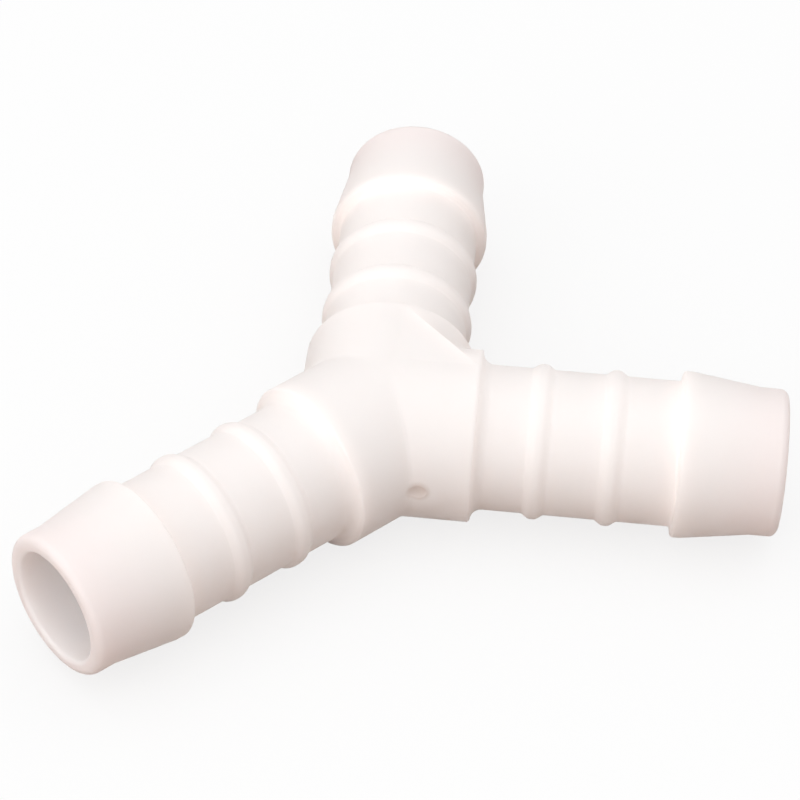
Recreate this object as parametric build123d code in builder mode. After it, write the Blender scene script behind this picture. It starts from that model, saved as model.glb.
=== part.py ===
from build123d import *
from math import cos, radians, sin, tan
import os

# A Y connector for flexible hose, moulded in one piece. A stem and two branches, all with
# the same barbed tail, meet in a hub of three mitred collars, and one straight bore runs
# through each leg to the middle. The axes of the legs lie in the plane Z = 0 and cross at
# the origin: the stem runs along -X, and the branches spread to both sides of +X.

# ---- Driving dimensions, in millimetres and degrees ----
hose_bore = 12.0           # inside diameter of the hose, and the plain diameter of a tail
wall = 1.3                 # wall of the plain tail, between it and the bore
leg_length = 33.0          # from the middle of the hub to the tip of each leg
branch_spread = 90.0       # angle between the two branches

collar_length = 7.85       # from the middle of the hub to the end of each collar
collar_step = 1.12         # how far the collar stands above the tail
collar_edge_chamfer = 0.15
collar_foot_blend = 0.95   # reach of the hollow blend from the collar's end onto the tail

first_rib = 12.92          # from the middle of the hub to the middle of the first rib
rib_pitch = 6.0
rib_count = 2
rib_height = 0.42
rib_foot_width = 2.0
rib_crest_width = 0.6

barb_back = 24.3           # from the middle of the hub to the square back of the barb
barb_step = 0.86           # how far the barb stands above the tail
barb_land = 0.8            # width of the barb's crest
barb_foot_chamfer = 0.25
barb_crest_chamfer = 0.15
nose_start = 30.75         # where the cone of the barb runs out into the nose
nose_step = 0.08           # how far the nose stands above the tail
lip_chamfer = 0.4          # outside edge of the tip
mouth_chamfer = 0.35       # inside edge of the tip

web_front = 6.12           # from the middle of the hub to the web's straight front
web_thickness = 14.1       # nearly flush with the branch collars, whose notch it fills
gate_diameter = 1.3        # cut-off stub of the gate, on the mould's parting plane
gate_place = 3.6           # along the branch, from the middle of the hub
gate_height = 0.15

# ---- Sizes worked out from them ----
tail_radius = hose_bore / 2
bore_radius = tail_radius - wall
collar_radius = tail_radius + collar_step
rib_radius = tail_radius + rib_height
barb_radius = tail_radius + barb_step
nose_radius = tail_radius + nose_step
middle_of_wall = bore_radius + wall / 2
rib_middles = [first_rib + rib_pitch * number for number in range(rib_count)]
stem_angle = 180.0
left_angle = branch_spread / 2
right_angle = -branch_spread / 2
leg_angles = [stem_angle, left_angle, right_angle]
# Edges whose radii differ by less than this are taken for one size.
size_tolerance = 0.01


def direction(angle):
    """Unit vector in the plane Z = 0, turned from +X."""
    return Vector(cos(radians(angle)), sin(radians(angle)), 0)


def rib_points(middle):
    """Outline of one rib, from foot to foot."""
    half_foot = rib_foot_width / 2
    half_crest = rib_crest_width / 2
    return [
        (middle - half_foot, tail_radius),
        (middle - half_crest, rib_radius),
        (middle + half_crest, rib_radius),
        (middle + half_foot, tail_radius),
    ]


# ---- Leg: one outline turned about its axis, which lies along X here ----
collar_end = (collar_length, collar_radius)
blend_start = (collar_length, tail_radius + collar_foot_blend)
blend_corner = (collar_length, tail_radius)
blend_end = (collar_length + collar_foot_blend, tail_radius)
barb_foot = (barb_back, tail_radius)
barb_crest = (barb_back, barb_radius)
lip = (leg_length, nose_radius)

tail_points = [blend_end]
for middle in rib_middles:
    tail_points += rib_points(middle)
tail_points += [barb_foot, barb_crest, (barb_back + barb_land, barb_radius), (nose_start, nose_radius), lip]

edge_chamfers = [
    (collar_end, collar_edge_chamfer),
    (barb_foot, barb_foot_chamfer),
    (barb_crest, barb_crest_chamfer),
    (lip, lip_chamfer),
]

with BuildPart() as leg:
    with BuildSketch(Plane.XY) as leg_outline:
        with BuildLine():
            Polyline((leg_length, 0), (0, 0), (0, collar_radius), collar_end, blend_start)
            Bezier(blend_start, blend_corner, blend_end)
            Polyline(*tail_points, (leg_length, 0))
        make_face()
        for corner, size in edge_chamfers:
            chamfer(leg_outline.vertices().sort_by_distance(corner)[0], size)
    revolve(axis=Axis.X)

# ---- Connector: legs, web and gate stub, then the bores ----
with BuildPart() as y_connector:
    with Locations([Location((0, 0, 0), (0, 0, angle)) for angle in leg_angles]):
        add(leg.part)

    # The web is a flat triangle between the branch axes. It stops at the collars' ends.
    with BuildSketch(Plane.XY):
        half_front = web_front * tan(radians(branch_spread / 2))
        with BuildLine():
            Polyline((0, 0), (web_front, half_front), (web_front, -half_front), close=True)
        make_face()
        for angle in (left_angle, right_angle):
            Rectangle(2 * collar_length, 4 * collar_length, rotation=angle, mode=Mode.INTERSECT)
    extrude(amount=web_thickness / 2, both=True)

    # The gate stub stands square on the right collar, on the side towards the stem.
    gate_axis = direction(right_angle - 90)
    gate_root = direction(right_angle) * gate_place + gate_axis * middle_of_wall
    with BuildSketch(Plane(origin=gate_root, z_dir=gate_axis)):
        Circle(gate_diameter / 2)
    extrude(amount=collar_radius + gate_height - middle_of_wall)

    # One bore a leg, from the middle of the hub out through the tip.
    for angle in leg_angles:
        with BuildSketch(Plane(origin=(0, 0, 0), z_dir=direction(angle))):
            Circle(bore_radius)
        extrude(amount=leg_length, mode=Mode.SUBTRACT)
    bore_edges = y_connector.edges().filter_by(GeomType.CIRCLE)
    mouths = bore_edges.filter_by(lambda edge: abs(edge.radius - bore_radius) < size_tolerance)
    chamfer(mouths, mouth_chamfer)

y_connector.part.label = "y_connector"
os.makedirs("parts", exist_ok=True)
export_step(y_connector.part, "parts/y_connector.step")
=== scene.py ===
from math import asin, cos, degrees, pi, radians, sin

import bmesh
import bpy
from mathutils import Matrix, Vector


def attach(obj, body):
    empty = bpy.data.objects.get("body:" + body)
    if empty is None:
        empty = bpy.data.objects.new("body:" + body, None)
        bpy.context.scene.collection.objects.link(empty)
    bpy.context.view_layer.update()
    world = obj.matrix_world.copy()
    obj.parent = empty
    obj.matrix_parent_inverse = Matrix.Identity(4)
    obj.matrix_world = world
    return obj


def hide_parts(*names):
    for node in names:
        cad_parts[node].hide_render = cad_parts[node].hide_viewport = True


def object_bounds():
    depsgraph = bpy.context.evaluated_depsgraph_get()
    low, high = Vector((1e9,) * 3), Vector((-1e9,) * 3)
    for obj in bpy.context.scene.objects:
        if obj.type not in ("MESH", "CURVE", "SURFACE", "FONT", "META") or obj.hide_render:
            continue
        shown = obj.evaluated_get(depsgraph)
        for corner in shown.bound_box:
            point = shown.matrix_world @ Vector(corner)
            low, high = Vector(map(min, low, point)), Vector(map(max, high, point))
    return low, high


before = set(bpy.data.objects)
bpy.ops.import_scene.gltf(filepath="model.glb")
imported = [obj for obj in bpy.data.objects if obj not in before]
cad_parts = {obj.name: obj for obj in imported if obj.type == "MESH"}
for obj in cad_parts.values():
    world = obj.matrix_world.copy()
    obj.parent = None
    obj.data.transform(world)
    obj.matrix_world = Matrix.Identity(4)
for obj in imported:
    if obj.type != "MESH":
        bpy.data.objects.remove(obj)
cad_low, cad_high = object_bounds()

# A Y connector for flexible hose, moulded in one piece of natural polypropylene. A stem and
# two branches, all with the same barbed tail, meet in a hub of mitred collars. The stem runs
# along -X and the branches spread to both sides of +X, in the plane Z = 0.

MM = 0.001

# ---- Sizes of the connector, in millimetres and degrees ----
TAIL_RADIUS = 6.0
BORE_RADIUS = 4.7
LEG_LENGTH = 33.0
STEM_ANGLE = 180.0
BRANCH_ANGLE = 45.0            # of each branch from +X

COLLAR_RADIUS = 7.12
COLLAR_LENGTH = 7.85
COLLAR_EDGE_ROUND = 0.35
COLLAR_FOOT_HOLLOW = 0.95      # radius of the hollow from the collar's end onto the tail
MITRE_BLEND = 0.3              # reach of the soft valley on each side of a mitre

RIB_MIDDLES = (12.92, 18.92)
RIB_HEIGHT = 0.42
RIB_FOOT_WIDTH = 2.0
RIB_CREST_POWER = 1.6          # above 1, a rib's crest is broader than a cosine's

BARB_BACK = 24.3
BARB_RADIUS = 6.86
BARB_LAND = 0.8
BARB_FOOT_HOLLOW = 0.3
BARB_CREST_ROUND = 0.3
NOSE_START = 30.75
NOSE_RADIUS = 6.08
LIP_ROUND = 0.7
MOUTH_ROUND = 0.35

WEB_FRONT = 6.12               # from the hub's middle to the web's straight front
WEB_HALF_HEIGHT = 7.05
WEB_EDGE_ROUND = 0.18
WEB_ROOT = 5.2                 # the plates start inside the wall, clear of the bores
GATE_PLACE = 3.6               # along the right branch
GATE_RADIUS = 0.7              # where the gate broke off, a shallow sunk mark
GATE_DEPTH = 0.25

# ---- How finely the mesh is cut ----
STEPS_AROUND = 240
ARC_STEPS = 6
HOLLOW_STEPS = 10
LIP_STEPS = 8
RIB_STEPS = 16
COLLAR_STEPS = 6               # along each of the collar's two plain stretches
BORE_STEPS = 8
BORE_FINE_REACH = 15.7         # from the hub's middle, where the bore has short faces
GATE_STEPS = 48
MERGE = 0.0005                 # points nearer than this are one
OUTSIDE_MARGIN = 0.2           # a collar's skin is this much further out than a tail's
CREASE_ANGLE = 32.0            # degrees, past which an edge stays sharp
BROAD_FACE_WEIGHT = 60         # how much the broad faces lead the shading

# ---- Camera: where it stands and what it looks at ----
IMAGE_SIZE = 800
CAMERA_AZIMUTH = -41.609
CAMERA_ELEVATION = 43.212
CAMERA_ROLL = 2.746
CAMERA_DISTANCE = 259.495
CAMERA_TARGET = (3.299, 1.661, 0.0)
FOCAL_PIXELS = 3114.135
SENSOR_WIDTH = 36.0
NEAREST_SEEN = 10.0

# ---- Material: linear colours, noise scales per metre, heights and depths in millimetres ----
MILKY_LOW = (0.968, 0.916, 0.893, 1)
MILKY_HIGH = (0.985, 0.935, 0.915, 1)
CLOUD_SCALE = 160.0
CLOUD_DETAIL = 3.0
# Painted light: the bores' walls paler, standing in for light that comes through the thin walls
BORE_PAINTED_LIGHT = (0.998, 0.966, 0.960, 1)
BORE_PAINTED_LIGHT_FADE = 0.35               # how far out from a bore's wall its painted light runs
# Painted shade: the outsides of the leg ends darker and rosier, standing in for light lost through
# the thin walls
END_PAINTED_SHADE = (0.96, 0.93, 0.935, 1)
END_PAINTED_SHADE_START = 25.0          # from the hub's middle
# Painted shade: the sunk gate mark and its rim darker, standing in for the shade in its recess
GATE_PAINTED_SHADE = (0.80, 0.75, 0.72, 1)
GATE_PAINTED_SHADE_CORE = 0.49         # full strength up to here from the mark's middle
GATE_PAINTED_SHADE_REACH = 1.2         # and gone here
ROUGHNESS_LOW = 0.42
ROUGHNESS_HIGH = 0.54
SMEAR_RANGE = (0.3, 0.7)       # part of the noise that spans the two roughnesses
SMEAR_SCALE = 350.0
SMEAR_DETAIL = 4.0
GRAIN_SCALE = 6000.0
GRAIN_HEIGHT = 0.0015
GRAIN_DETAIL = 2.0
WAVE_SCALE = 420.0
WAVE_HEIGHT = 0.012
WAVE_DETAIL = 1.0
PLASTIC_IOR = 1.49
GLOW_DEPTH = 2.0               # how far light spreads under the surface
GLOW_SPREAD = (1.0, 0.88, 0.84)

# ---- Floor and light ----
FLOOR_SIZE = 3000.0
FLOOR_BOUNCE = (0.36, 0.26, 0.21, 1)
FLOOR_PALE = (0.95, 0.95, 0.95, 1)
WHITE = (1, 1, 1, 1)
BACKDROP_SHARE = 0.78          # how much of the floor is plain white where it is seen
WORLD_STRENGTH = 0.79
# name, place in metres, size in metres, watts
LAMPS = [
    ("side", (-0.60, 0.0, 0.30), 0.60, 1.3),
    ("overhead", (0.0, 0.0, 0.70), 0.70, 0.75),
]


# ======================= the outline of one leg =======================

def arc(centre, radius, start, end, steps=ARC_STEPS):
    """Points on a round corner, from one direction to the other, both ends included."""
    points = []
    for number in range(steps + 1):
        angle = radians(start + (end - start) * number / steps)
        points.append((centre[0] + radius * cos(angle), centre[1] + radius * sin(angle)))
    return points


def spread(start, end, radius, steps):
    """Points along a plain stretch, the far end left out."""
    return [(start + (end - start) * number / steps, radius) for number in range(steps)]


def soft_rib(middle):
    """A low rib with a rounded crest that runs out softly at both feet."""
    half = RIB_FOOT_WIDTH / 2
    points = []
    for number in range(RIB_STEPS + 1):
        along = -half + 2 * half * number / RIB_STEPS
        # A raised cosine, flattened a little at its crest
        wave = 0.5 + 0.5 * cos(pi * along / half)
        height = RIB_HEIGHT * (1 - (1 - wave) ** RIB_CREST_POWER)
        points.append((middle + along, TAIL_RADIUS + height))
    return points


def leg_outline():
    """(along the axis, away from it) from the mitre over the tail and back down the bore."""
    # Short faces first, where the mitre's soft valley bends them
    valley = MITRE_BLEND * 1.5
    points = spread(0, valley, COLLAR_RADIUS, COLLAR_STEPS)
    points += spread(valley, COLLAR_LENGTH - COLLAR_EDGE_ROUND, COLLAR_RADIUS, COLLAR_STEPS)
    # The collar's shoulder: a rounded edge runs straight into the hollow at its foot
    edge, hollow = COLLAR_EDGE_ROUND, COLLAR_FOOT_HOLLOW
    rise = edge + hollow - (COLLAR_RADIUS - TAIL_RADIUS)
    turn = degrees(asin(rise / (edge + hollow)))
    edge_middle = COLLAR_LENGTH - edge
    foot_middle = edge_middle + (edge + hollow) * cos(radians(turn))
    points += arc((edge_middle, COLLAR_RADIUS - edge), edge, 90, turn)
    points += arc((foot_middle, TAIL_RADIUS + hollow), hollow, 180 + turn, 270, HOLLOW_STEPS)[1:]
    for middle in RIB_MIDDLES:
        points += soft_rib(middle)
    foot = BARB_FOOT_HOLLOW
    points += arc((BARB_BACK - foot, TAIL_RADIUS + foot), foot, 270, 360)
    crest = BARB_CREST_ROUND
    points += arc((BARB_BACK + crest, BARB_RADIUS - crest), crest, 180, 90)
    points += [(BARB_BACK + BARB_LAND, BARB_RADIUS), (NOSE_START, NOSE_RADIUS)]
    lip = LIP_ROUND
    points += arc((LEG_LENGTH - lip, NOSE_RADIUS - lip), lip, 90, 0, LIP_STEPS)
    mouth = MOUTH_ROUND
    points += arc((LEG_LENGTH - mouth, BORE_RADIUS + mouth), mouth, 0, -90)
    points += spread(BORE_FINE_REACH, 0, BORE_RADIUS, BORE_STEPS)
    points += [(0, BORE_RADIUS)]
    return points


# ======================= Geometry Nodes =======================

class Nodes:
    """Adds nodes to one tree and links them as they are made."""

    def __init__(self, tree):
        self.tree = tree

    def add(self, kind, inputs=(), **settings):
        node = self.tree.nodes.new(kind)
        for name, value in settings.items():
            setattr(node, name, value)
        for key, value in dict(inputs).items():
            self.feed(node.inputs[key], value)
        return node

    def feed(self, socket, value):
        if isinstance(value, bpy.types.NodeSocket):
            self.tree.links.new(value, socket)
        else:
            socket.default_value = value

    def math(self, operation, *values):
        node = self.add("ShaderNodeMath", enumerate(values), operation=operation)
        return node.outputs[0]


def new_tree(name, inputs):
    """A geometry tree with named inputs and one geometry output."""
    tree = bpy.data.node_groups.new(name, "GeometryNodeTree")
    for socket_name, kind in inputs:
        tree.interface.new_socket(socket_name, in_out="INPUT", socket_type="NodeSocket" + kind)
    tree.interface.new_socket("Geometry", in_out="OUTPUT", socket_type="NodeSocketGeometry")
    return tree


def leg_tree():
    """Turns an outline about its axis, and stops it on the mitres with its two neighbours."""
    tree = new_tree("turned leg", [
        ("Outline", "Geometry"), ("Rows", "Int"), ("Steps Around", "Int"),
        ("Left Tangent", "Float"), ("Right Tangent", "Float"),
        ("Collar Length", "Float"), ("Outside From", "Float"), ("Mitre Blend", "Float"),
        ("Angle", "Float"),
    ])
    n = Nodes(tree)
    given = tree.nodes.new("NodeGroupInput").outputs
    rows, steps = given["Rows"], given["Steps Around"]
    columns = n.math("ADD", steps, 1.0)
    grid = n.add("GeometryNodeMeshGrid", {"Vertices X": rows, "Vertices Y": columns})

    # Row and column of each point, then the outline's point of that row
    index = n.add("GeometryNodeInputIndex").outputs[0]
    row = n.math("FLOOR", n.math("DIVIDE", n.math("ADD", index, 0.5), columns))
    column = n.math("SUBTRACT", index, n.math("MULTIPLY", row, columns))
    position = n.add("GeometryNodeInputPosition").outputs[0]
    sample = n.add(
        "GeometryNodeSampleIndex", {"Geometry": given["Outline"], "Value": position, "Index": row},
        data_type="FLOAT_VECTOR", domain="POINT")
    outline = n.add("ShaderNodeSeparateXYZ", {0: sample.outputs[0]}).outputs
    along, away = outline["X"], outline["Z"]

    angle = n.math("MULTIPLY", n.math("DIVIDE", column, steps), 2 * pi)
    sine, cosine = n.math("SINE", angle), n.math("COSINE", angle)
    on_left = n.math("GREATER_THAN", sine, 0.0)
    left = n.math("MULTIPLY", on_left, given["Left Tangent"])
    right = n.math("MULTIPLY", n.math("SUBTRACT", 1.0, on_left), given["Right Tangent"])
    steepness = n.math("MULTIPLY", n.math("ABSOLUTE", sine), n.math("ADD", left, right))

    # The valley of a mitre is filled a little, with a curve that meets its twin squarely
    outside = n.math("GREATER_THAN", away, given["Outside From"])
    blend = given["Mitre Blend"]
    half_blend = n.math("MULTIPLY", blend, 0.5)
    fill = n.math("MULTIPLY", n.math("MULTIPLY", steepness, outside), half_blend)
    mitre = n.math("MULTIPLY", n.math("ADD", away, fill), steepness)
    share = n.math("DIVIDE", along, given["Collar Length"])
    free = n.math("MAXIMUM", n.math("SUBTRACT", 1.0, share), 0.0)
    place = n.math("ADD", along, n.math("MULTIPLY", mitre, free))
    gone = n.math("DIVIDE", n.math("SUBTRACT", place, mitre), blend)
    near = n.math("MAXIMUM", n.math("SUBTRACT", 1.0, gone), 0.0)
    raised = n.math("ADD", away, n.math("MULTIPLY", fill, n.math("MULTIPLY", near, near)))

    # The fill never stands higher than the collar itself
    level = n.math("MINIMUM", n.math("MULTIPLY", raised, cosine), away)
    level = n.math("MAXIMUM", level, n.math("MULTIPLY", away, -1.0))

    sideways = n.math("MULTIPLY", raised, sine)
    turned = n.add("ShaderNodeCombineXYZ", {"X": place, "Y": sideways, "Z": level})
    shaped = n.add("GeometryNodeSetPosition", {
        "Geometry": grid.outputs["Mesh"], "Position": turned.outputs[0]})
    heading = n.add("ShaderNodeCombineXYZ", {"Z": given["Angle"]})
    placed = n.add("GeometryNodeTransform", {
        "Geometry": shaped.outputs[0], "Rotation": heading.outputs[0]})
    n.add("NodeGroupOutput", {"Geometry": placed.outputs[0]})
    return tree


def connector_tree(leg):
    """Three turned legs that meet on their mitres, as one closed skin."""
    tree = new_tree("connector", [
        ("Outline", "Geometry"), ("Rows", "Int"), ("Steps Around", "Int"),
        ("Stem Angle", "Float"), ("Branch Angle", "Float"),
        ("Collar Length", "Float"), ("Outside From", "Float"), ("Mitre Blend", "Float"),
        ("Merge Distance", "Float"), ("Material", "Material"),
    ])
    n = Nodes(tree)
    given = tree.nodes.new("NodeGroupInput").outputs
    branch = given["Branch Angle"]
    # A mitre stands half way between two legs: its tangent is that of half their turn
    between_branches = n.math("TANGENT", n.math("SUBTRACT", pi / 2, branch))
    beside_stem = n.math("TANGENT", n.math("DIVIDE", branch, 2.0))
    other_branch = n.math("MULTIPLY", branch, -1.0)
    legs = [
        (given["Stem Angle"], beside_stem, beside_stem),
        (branch, beside_stem, between_branches),
        (other_branch, between_branches, beside_stem),
    ]
    shared = (
        "Outline", "Rows", "Steps Around", "Collar Length", "Outside From", "Mitre Blend")
    joined = n.add("GeometryNodeJoinGeometry")
    for angle, left, right in legs:
        one = n.add("GeometryNodeGroup", node_tree=leg)
        for name in shared:
            n.feed(one.inputs[name], given[name])
        n.feed(one.inputs["Angle"], angle)
        n.feed(one.inputs["Left Tangent"], left)
        n.feed(one.inputs["Right Tangent"], right)
        tree.links.new(one.outputs[0], joined.inputs[0])
    merged = n.add("GeometryNodeMergeByDistance", {
        "Geometry": joined.outputs[0], "Distance": given["Merge Distance"]})
    smooth = n.add("GeometryNodeSetShadeSmooth", {"Geometry": merged.outputs[0]})
    real = n.add("GeometryNodeRealizeInstances", {"Geometry": smooth.outputs[0]})
    dressed = n.add("GeometryNodeSetMaterial", {
        "Geometry": real.outputs[0], "Material": given["Material"]})
    n.add("NodeGroupOutput", {"Geometry": dressed.outputs[0]})
    return tree


def set_input(modifier, name, value):
    for item in modifier.node_group.interface.items_tree:
        if item.item_type == "SOCKET" and item.in_out == "INPUT" and item.name == name:
            modifier[item.identifier] = value


# ======================= mesh helpers =======================

def new_object(name, mesh):
    made = bpy.data.objects.new(name, mesh)
    bpy.context.scene.collection.objects.link(made)
    return made


def settle(made):
    """Replaces an object's mesh by what its modifiers make of it, and removes them."""
    depsgraph = bpy.context.evaluated_depsgraph_get()
    mesh = bpy.data.meshes.new_from_object(made.evaluated_get(depsgraph))
    made.modifiers.clear()
    made.data = mesh


def flat_direction(angle):
    return Vector((cos(radians(angle)), sin(radians(angle)), 0.0))


# ======================= the connector =======================

def turn_legs(material):
    """The three legs as one closed skin, with the bore inside."""
    outline = leg_outline()
    mesh = bpy.data.meshes.new("leg outline")
    points = [(along * MM, 0.0, away * MM) for along, away in outline]
    mesh.from_pydata(points, [(i, i + 1) for i in range(len(points) - 1)], [])
    body = new_object("connector_body", mesh)
    modifier = body.modifiers.new("turned legs", "NODES")
    modifier.node_group = connector_tree(leg_tree())
    values = {
        "Rows": len(outline), "Steps Around": STEPS_AROUND,
        "Stem Angle": radians(STEM_ANGLE), "Branch Angle": radians(BRANCH_ANGLE),
        "Collar Length": COLLAR_LENGTH * MM, "Mitre Blend": MITRE_BLEND * MM,
        "Outside From": (TAIL_RADIUS + OUTSIDE_MARGIN) * MM,
        "Merge Distance": MERGE * MM, "Material": material,
    }
    for name, value in values.items():
        set_input(modifier, name, value)
    settle(body)
    return body


def finish_part(work, name, material):
    """Turns a part made in millimetres into an object, with its faces outwards."""
    bmesh.ops.recalc_face_normals(work, faces=work.faces)
    if work.calc_volume(signed=True) < 0:
        bmesh.ops.reverse_faces(work, faces=work.faces)
    work.transform(Matrix.Scale(MM, 4))
    mesh = bpy.data.meshes.new(name)
    work.to_mesh(mesh)
    work.free()
    mesh.materials.append(material)
    return new_object(name, mesh)


def make_web_plate(side, material):
    """The web's plate on one side of the parting plane. It is rooted in the collars' walls."""
    end = COLLAR_LENGTH - COLLAR_EDGE_ROUND
    axis = flat_direction(BRANCH_ANGLE)
    corner = axis * end
    front = (end - WEB_FRONT * axis.x) / axis.y
    outline = [
        (0.0, 0.0), (corner.x, -corner.y), (WEB_FRONT, -front),
        (WEB_FRONT, front), (corner.x, corner.y),
    ]
    work = bmesh.new()
    root = work.faces.new([work.verts.new((x, y, side * WEB_ROOT)) for x, y in outline])
    made = bmesh.ops.extrude_face_region(work, geom=[root])["geom"]
    top = [item for item in made if isinstance(item, bmesh.types.BMVert)]
    bmesh.ops.translate(work, verts=top, vec=(0, 0, side * (WEB_HALF_HEIGHT - WEB_ROOT)))
    front_points = [point for point in top if abs(point.co.x - WEB_FRONT) < MERGE]
    edges = [edge for edge in work.edges if all(point in front_points for point in edge.verts)]
    bmesh.ops.bevel(
        work, geom=edges, offset=WEB_EDGE_ROUND, segments=ARC_STEPS, profile=0.5, affect="EDGES")
    return finish_part(work, "web plate", material)


def gate_direction():
    """Which way the gate's mark faces, on the right collar towards the stem."""
    return flat_direction(-BRANCH_ANGLE - 90)


def gate_place(away):
    """A point over or under the gate's mark, so far from the right branch's axis."""
    return flat_direction(-BRANCH_ANGLE) * GATE_PLACE + gate_direction() * away


def make_gate(material):
    """A ball that cuts the shallow mark where the gate broke off."""
    ball = (GATE_RADIUS ** 2 + GATE_DEPTH ** 2) / (2 * GATE_DEPTH)
    middle = gate_place(COLLAR_RADIUS - GATE_DEPTH + ball)
    turn = gate_direction().to_track_quat("Z", "Y").to_matrix().to_4x4()
    work = bmesh.new()
    bmesh.ops.create_uvsphere(work, u_segments=GATE_STEPS * 2, v_segments=GATE_STEPS, radius=ball)
    work.transform(Matrix.Translation(middle) @ turn)
    return finish_part(work, "gate mark", material)


def mark_bores(body):
    """Stores 1 on the bores' walls, falling to 0 over the rounded mouths, as the mask of the
    painted light in the bores.
    """
    legs = [flat_direction(angle) for angle in (STEM_ANGLE, -BRANCH_ANGLE, BRANCH_ANGLE)]
    depths = []
    for vertex in body.data.vertices:
        place = vertex.co / MM
        distances = [place.cross(leg).length for leg in legs if place.dot(leg) > 0]
        away = min(distances, default=COLLAR_RADIUS)
        depths.append(min(max((BORE_RADIUS + BORE_PAINTED_LIGHT_FADE - away) / BORE_PAINTED_LIGHT_FADE, 0), 1))
    body.data.attributes.new("bore", "FLOAT", "POINT").data.foreach_set("value", depths)


def combine(body, operation, parts):
    """Joins closed parts to the body as one skin, or cuts them from it, and removes them."""
    for part in parts:
        modifier = body.modifiers.new(part.name, "BOOLEAN")
        modifier.operation = operation
        modifier.solver = "EXACT"
        modifier.object = part
    settle(body)
    for part in parts:
        mesh = part.data
        bpy.data.objects.remove(part)
        bpy.data.meshes.remove(mesh)


def smooth_skin(body):
    """Merges doubles, keeps real creases sharp, and lets the broad faces lead the shading."""
    work = bmesh.new()
    work.from_mesh(body.data)
    bmesh.ops.remove_doubles(work, verts=work.verts, dist=MERGE * MM)
    bmesh.ops.dissolve_degenerate(work, edges=work.edges, dist=MERGE * MM)
    bmesh.ops.recalc_face_normals(work, faces=work.faces)
    for face in work.faces:
        face.smooth = True
    for edge in work.edges:
        edge.smooth = edge.calc_face_angle(0.0) < radians(CREASE_ANGLE)
    work.to_mesh(body.data)
    work.free()
    weighted = body.modifiers.new("weighted normals", "WEIGHTED_NORMAL")
    weighted.keep_sharp = True
    weighted.weight = BROAD_FACE_WEIGHT
    settle(body)


def make_connector(material):
    body = turn_legs(material)
    plates = [make_web_plate(side, material) for side in (1, -1)]
    gate = make_gate(material)
    combine(body, "UNION", plates)
    combine(body, "DIFFERENCE", [gate])
    smooth_skin(body)
    mark_bores(body)
    return body


# ======================= materials =======================

def mix_color(n, factor, first, second, blend="MIX"):
    """The Mix node repeats its socket names, so the colour ones are picked by type."""
    node = n.add("ShaderNodeMix", data_type="RGBA", blend_type=blend)
    sockets = {(socket.name, socket.type): socket for socket in node.inputs}
    n.feed(sockets["Factor", "VALUE"], factor)
    n.feed(sockets["A", "RGBA"], first)
    n.feed(sockets["B", "RGBA"], second)
    return [socket for socket in node.outputs if socket.type == "RGBA"][0]


def noise(n, place, scale, detail):
    node = n.add("ShaderNodeTexNoise", {"Vector": place, "Scale": scale, "Detail": detail})
    return node.outputs["Fac"]


def vector(n, operation, *values):
    return n.add("ShaderNodeVectorMath", enumerate(values), operation=operation).outputs


def ramp(n, value, start, end, low, high):
    node = n.add("ShaderNodeMapRange", {
        "Value": value, "From Min": start, "From Max": end, "To Min": low, "To Max": high})
    node.interpolation_type = "SMOOTHSTEP"
    return node.outputs[0]


def connector_material():
    """Natural polypropylene: milky, softly glossy, a little clouded as it left the mould, with
    painted light and shade for the light through its thin walls and for the gate's recess.
    """
    material = bpy.data.materials.new("natural polypropylene")
    material.use_nodes = True
    tree = material.node_tree
    n = Nodes(tree)
    principled = tree.nodes["Principled BSDF"]
    place = n.add("ShaderNodeTexCoord").outputs["Object"]
    color = mix_color(n, noise(n, place, CLOUD_SCALE, CLOUD_DETAIL), MILKY_LOW, MILKY_HIGH)

    # Painted light and shade for light through the thin walls: painted shade, rosier and darker,
    # outside near the open ends; painted light, paler, in the bores
    flat = vector(n, "MULTIPLY", place, (1, 1, 0))["Vector"]
    reach = vector(n, "LENGTH", flat)["Value"]
    # Painted shade towards the open ends
    end = ramp(n, reach, END_PAINTED_SHADE_START * MM, LEG_LENGTH * MM, 0.0, 1.0)
    color = mix_color(n, end, color, END_PAINTED_SHADE, "MULTIPLY")
    # Painted light in the bores, by the mask that mark_bores stores
    bore = n.add("ShaderNodeAttribute", attribute_name="bore").outputs["Fac"]
    color = mix_color(n, bore, color, BORE_PAINTED_LIGHT)

    # Painted shade in and around the sunk mark where the gate broke off
    away = vector(n, "DISTANCE", place, tuple(gate_place(COLLAR_RADIUS) * MM))["Value"]
    gate_shade = ramp(n, away, GATE_PAINTED_SHADE_CORE * MM, GATE_PAINTED_SHADE_REACH * MM, 1.0, 0.0)
    color = mix_color(n, gate_shade, color, GATE_PAINTED_SHADE, "MULTIPLY")
    n.feed(principled.inputs["Base Color"], color)

    # Gloss that varies a little, a fine grain from the mould, and a slow waviness
    smear = noise(n, place, SMEAR_SCALE, SMEAR_DETAIL)
    gloss = ramp(n, smear, *SMEAR_RANGE, ROUGHNESS_LOW, ROUGHNESS_HIGH)
    n.feed(principled.inputs["Roughness"], gloss)
    grain = n.math("MULTIPLY", noise(n, place, GRAIN_SCALE, GRAIN_DETAIL), GRAIN_HEIGHT * MM)
    wave = n.math("MULTIPLY", noise(n, place, WAVE_SCALE, WAVE_DETAIL), WAVE_HEIGHT * MM)
    height = n.math("ADD", grain, wave)
    bump = n.add("ShaderNodeBump", {"Height": height, "Strength": 1.0, "Distance": 1.0})
    n.feed(principled.inputs["Normal"], bump.outputs["Normal"])

    principled.subsurface_method = "BURLEY"
    principled.inputs["IOR"].default_value = PLASTIC_IOR
    principled.inputs["Subsurface Weight"].default_value = 1.0
    principled.inputs["Subsurface Radius"].default_value = GLOW_SPREAD
    principled.inputs["Subsurface Scale"].default_value = GLOW_DEPTH * MM
    return material


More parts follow.
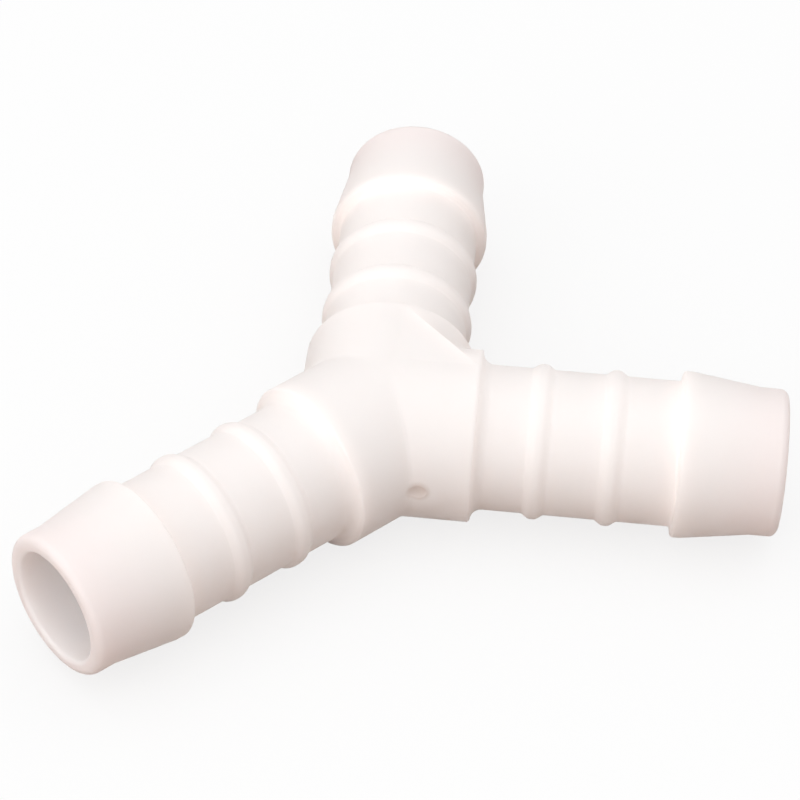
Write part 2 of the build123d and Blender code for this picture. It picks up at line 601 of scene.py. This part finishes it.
def floor_material():
    """Pale floor. Seen or mirrored it is nearly white, and still takes the connector's shadow."""
    material = bpy.data.materials.new("floor")
    material.use_nodes = True
    tree = material.node_tree
    n = Nodes(tree)
    tree.nodes.remove(tree.nodes["Principled BSDF"])
    rays = n.add("ShaderNodeLightPath").outputs
    mirrored = n.math("MAXIMUM", rays["Is Glossy Ray"], rays["Is Transmission Ray"])
    seen = n.math("MAXIMUM", rays["Is Camera Ray"], mirrored)
    bounce = n.add("ShaderNodeBsdfDiffuse", {"Color": FLOOR_BOUNCE})
    pale = n.add("ShaderNodeBsdfDiffuse", {"Color": FLOOR_PALE})
    white = n.add("ShaderNodeEmission", {"Color": WHITE, "Strength": 1.0})
    backdrop = n.add("ShaderNodeMixShader", {
        0: BACKDROP_SHARE, 1: pale.outputs[0], 2: white.outputs[0]})
    surface = n.add("ShaderNodeMixShader", {
        0: seen, 1: bounce.outputs[0], 2: backdrop.outputs[0]})
    tree.links.new(surface.outputs[0], tree.nodes["Material Output"].inputs["Surface"])
    return material


# ======================= floor, light and camera =======================

def make_floor():
    size, level = FLOOR_SIZE * MM / 2, cad_low[2]
    mesh = bpy.data.meshes.new("floor")
    corners = [(x * size, y * size, level) for x, y in ((-1, -1), (1, -1), (1, 1), (-1, 1))]
    mesh.from_pydata(corners, [], [(0, 1, 2, 3)])
    mesh.materials.append(floor_material())
    floor = new_object("floor", mesh)


def make_light():
    world = bpy.data.worlds.new("studio")
    world.use_nodes = True
    background = world.node_tree.nodes["Background"]
    background.inputs["Color"].default_value = WHITE
    background.inputs["Strength"].default_value = WORLD_STRENGTH
    bpy.context.scene.world = world
    for name, place, size, energy in LAMPS:
        lamp = bpy.data.lights.new(name, "AREA")
        lamp.energy = energy
        lamp.size = size
        made = new_object(name, lamp)
        made.location = place
        made.rotation_euler = (-Vector(place)).to_track_quat("-Z", "Y").to_euler()


def make_camera():
    azimuth, elevation = radians(CAMERA_AZIMUTH), radians(CAMERA_ELEVATION)
    roll = radians(CAMERA_ROLL)
    flat = cos(elevation)
    back = Vector((sin(azimuth) * flat, -cos(azimuth) * flat, sin(elevation)))
    right = Vector((cos(azimuth), sin(azimuth), 0.0))
    up = back.cross(right)
    rolled_right = right * cos(roll) + up * sin(roll)
    rolled_up = up * cos(roll) - right * sin(roll)
    turn = Matrix((rolled_right, rolled_up, back)).transposed().to_4x4()
    data = bpy.data.cameras.new("camera")
    data.sensor_width = SENSOR_WIDTH
    data.sensor_fit = "HORIZONTAL"
    data.lens = FOCAL_PIXELS / IMAGE_SIZE * SENSOR_WIDTH
    data.clip_start = NEAREST_SEEN * MM
    camera = new_object("camera", data)
    stand = Vector(CAMERA_TARGET) + back * CAMERA_DISTANCE
    camera.matrix_world = Matrix.Translation(stand * MM) @ turn
    bpy.context.scene.camera = camera


make_camera()
make_floor()
make_light()
plastic = connector_material()
connector = make_connector(plastic)
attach(connector, "root")
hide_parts("y_connector")
bpy.context.scene.view_settings.view_transform = "Standard"
